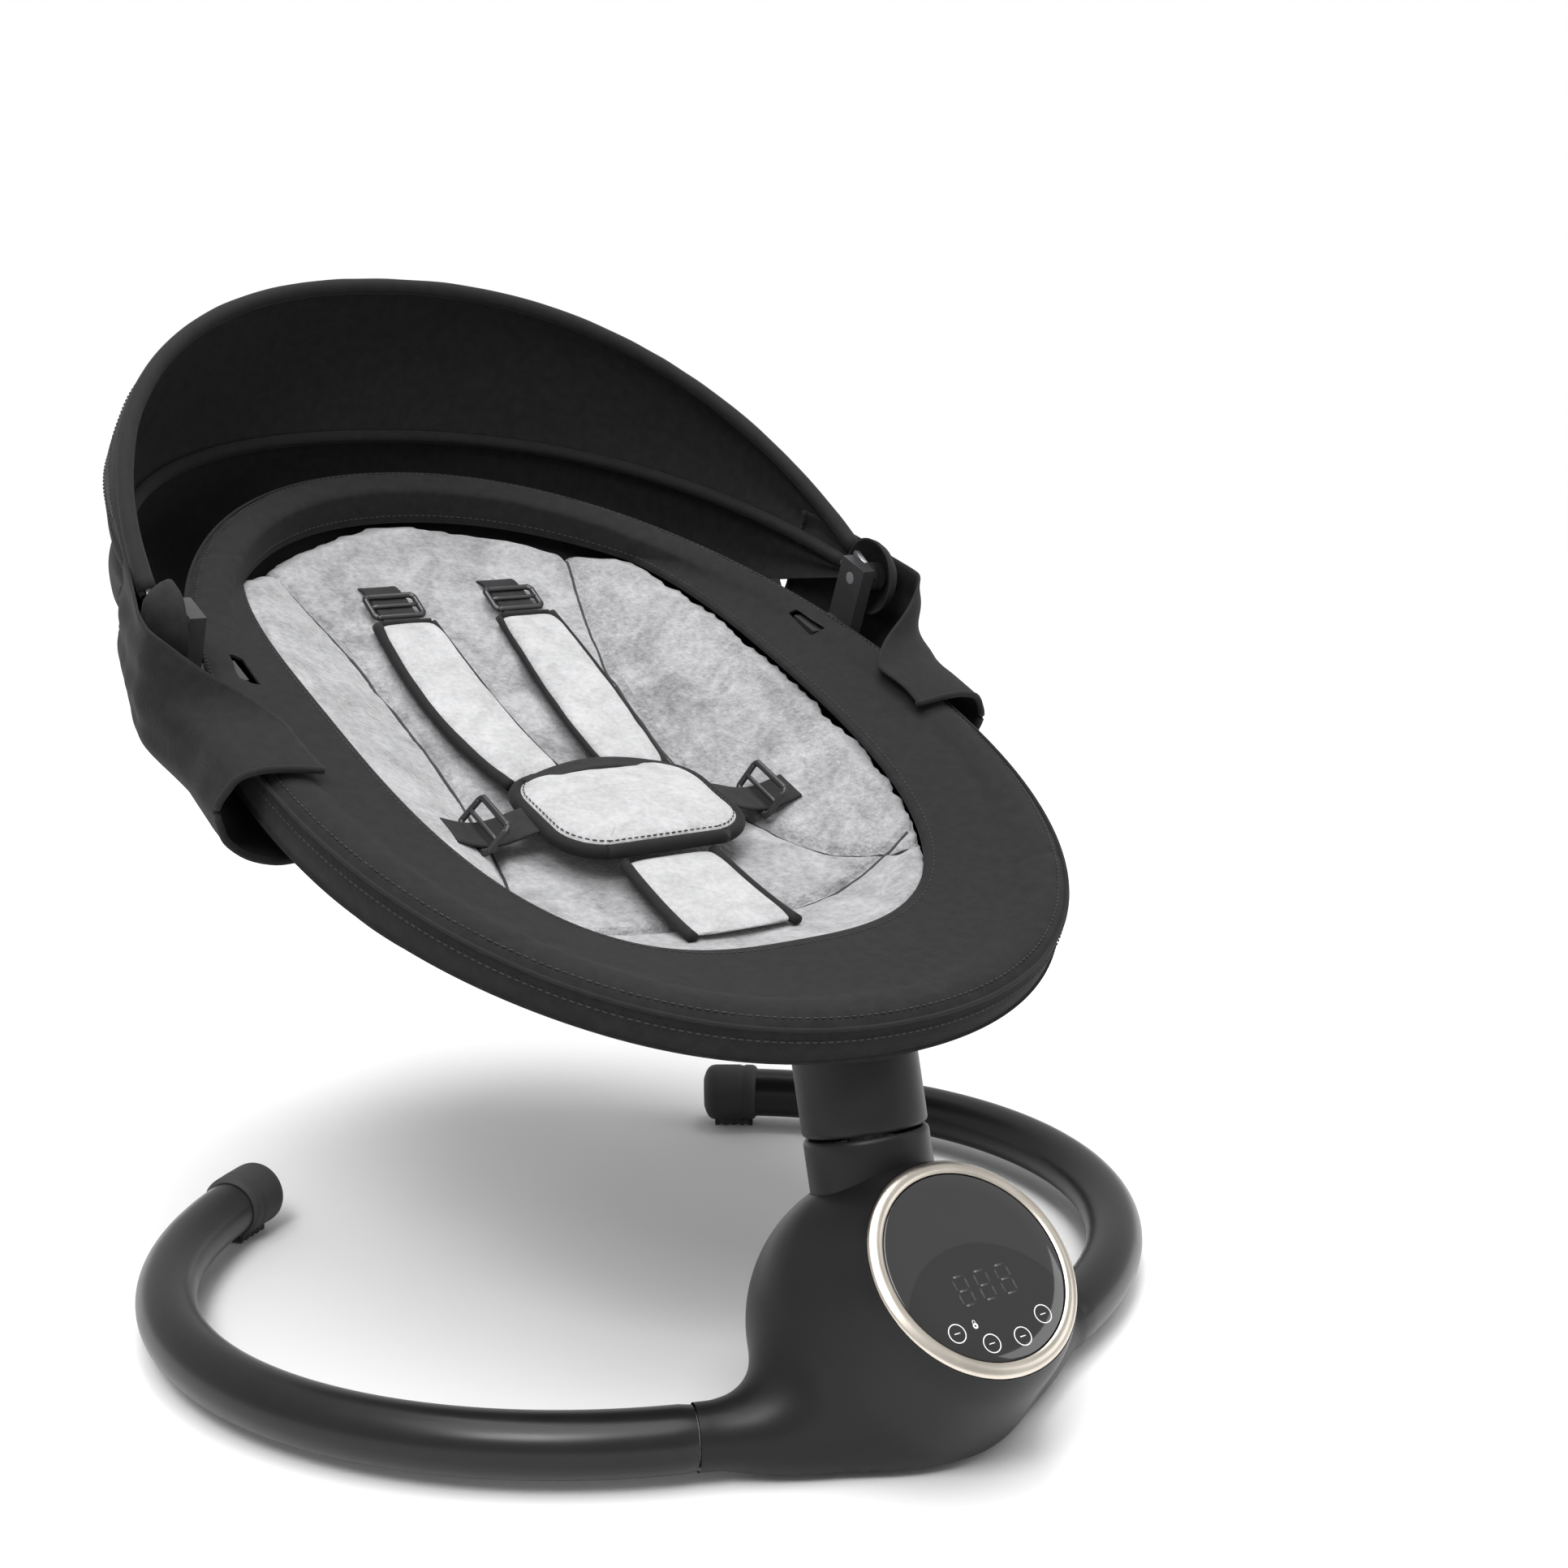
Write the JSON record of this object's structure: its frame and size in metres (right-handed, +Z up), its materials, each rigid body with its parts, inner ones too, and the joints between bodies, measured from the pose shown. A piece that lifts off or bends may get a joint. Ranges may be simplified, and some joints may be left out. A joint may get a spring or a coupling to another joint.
{
  "type": "electric baby swing",
  "caption": "Electric baby swing: padded oval seat with harness and fold-over canopy on a leaning swivel stem above a round housing and horseshoe tube base.",
  "frame": {"origin": "middle of the housing's foot pad, on the floor", "axes": "+Z up, +Y from the control panel towards the seat's head end, +X to the right seen from the control panel"},
  "size_m": [0.5842, 0.7042, 0.5599],
  "materials": {
    "black_fabric": "black woven fabric",
    "black_paint": "satin black paint",
    "board_green": "green circuit board",
    "bright_steel": "bright steel",
    "buckle_plastic": "black moulded buckle plastic",
    "gear_plastic": "natural nylon",
    "grey_plush": "light grey crushed velvet plush",
    "housing_plastic": "satin black moulded plastic",
    "panel_glass": "glossy black touch panel",
    "rubber": "moulded black rubber",
    "satin_nickel": "satin nickel-coloured ring",
    "webbing": "black polyester webbing"
  },
  "bodies": {
    "base": {"bottom_cover": "housing_plastic", "cover_screw_1": "bright_steel", "cover_screw_2": "bright_steel", "cover_screw_3": "bright_steel", "housing_foot_pad": "rubber", "housing_shell": "housing_plastic", "left_end_cap": "rubber", "left_leg_spigot": "gear_plastic", "left_leg_tube": "black_paint", "lower_bearing": "bright_steel", "main_board": "board_green", "motor_bracket": "bright_steel", "panel_carrier": "buckle_plastic", "panel_glass": "panel_glass", "panel_ring": "satin_nickel", "power_socket": "buckle_plastic", "right_end_cap": "rubber", "right_leg_spigot": "gear_plastic", "right_leg_tube": "black_paint", "speaker": "buckle_plastic", "stem_collar": "housing_plastic", "swing_motor": "bright_steel", "touch_board": "board_green", "upper_bearing": "bright_steel"},
    "pinion": {"motor_pinion": "bright_steel"},
    "canopy_rear": {"canopy_rear_bow": "bright_steel", "canopy_rear_panel": "black_fabric"},
    "canopy_front": {"canopy_front_bow": "bright_steel", "canopy_front_panel": "black_fabric"},
    "seat": {"belly_pad": "grey_plush", "crotch_strap": "grey_plush", "hub_core": "housing_plastic", "left_canopy_bracket": "buckle_plastic", "left_canopy_pin": "bright_steel", "left_hub_bolt": "bright_steel", "left_pocket": "black_fabric", "left_ring_joiner": "bright_steel", "left_shoulder_glide": "buckle_plastic", "left_shoulder_pad": "grey_plush", "left_shoulder_strap": "webbing", "left_waist_glide": "buckle_plastic", "left_waist_strap": "webbing", "right_canopy_bracket": "buckle_plastic", "right_canopy_pin": "bright_steel", "right_hub_bolt": "bright_steel", "right_pocket": "black_fabric", "right_ring_joiner": "bright_steel", "right_shoulder_glide": "buckle_plastic", "right_shoulder_pad": "grey_plush", "right_shoulder_strap": "webbing", "right_waist_glide": "buckle_plastic", "right_waist_strap": "webbing", "ring_tube_front": "black_paint", "ring_tube_rear": "black_paint", "seat_cover": "black_fabric", "seat_pad": "grey_plush", "sector_gear": "gear_plastic", "spreader_plate": "black_paint", "stem_sleeve": "housing_plastic", "swing_shaft": "bright_steel"}
  },
  "joints": [
    {"name": "seat_swing", "type": "hinge", "parent": "base", "child": "seat", "pos_m": [0, 0.0185, 0.1447], "axis": [0, 0.2588, 0.9659], "range_deg": [-15, 15]},
    {"name": "pinion_spin", "type": "hinge", "parent": "base", "child": "pinion", "pos_m": [0, 0.03429, 0.07939], "axis": [0, 0.2588, 0.9659], "range_deg": [-100.5, 100.5]},
    {"name": "canopy_rear_fold", "type": "hinge", "parent": "seat", "child": "canopy_rear", "pos_m": [0, 0.32648, 0.37741], "axis": [1, 0, 0], "range_deg": [0, 52.8]},
    {"name": "canopy_front_fold", "type": "hinge", "parent": "canopy_rear", "child": "canopy_front", "pos_m": [0, 0.32648, 0.37741], "axis": [1, 0, 0], "range_deg": [0, 52.8]}
  ],
  "couplings": [
    {"joint": "pinion_spin", "follows": "seat_swing", "ratio": -6.6667},
    {"joint": "canopy_front_fold", "follows": "canopy_rear_fold", "ratio": 1}
  ]
}
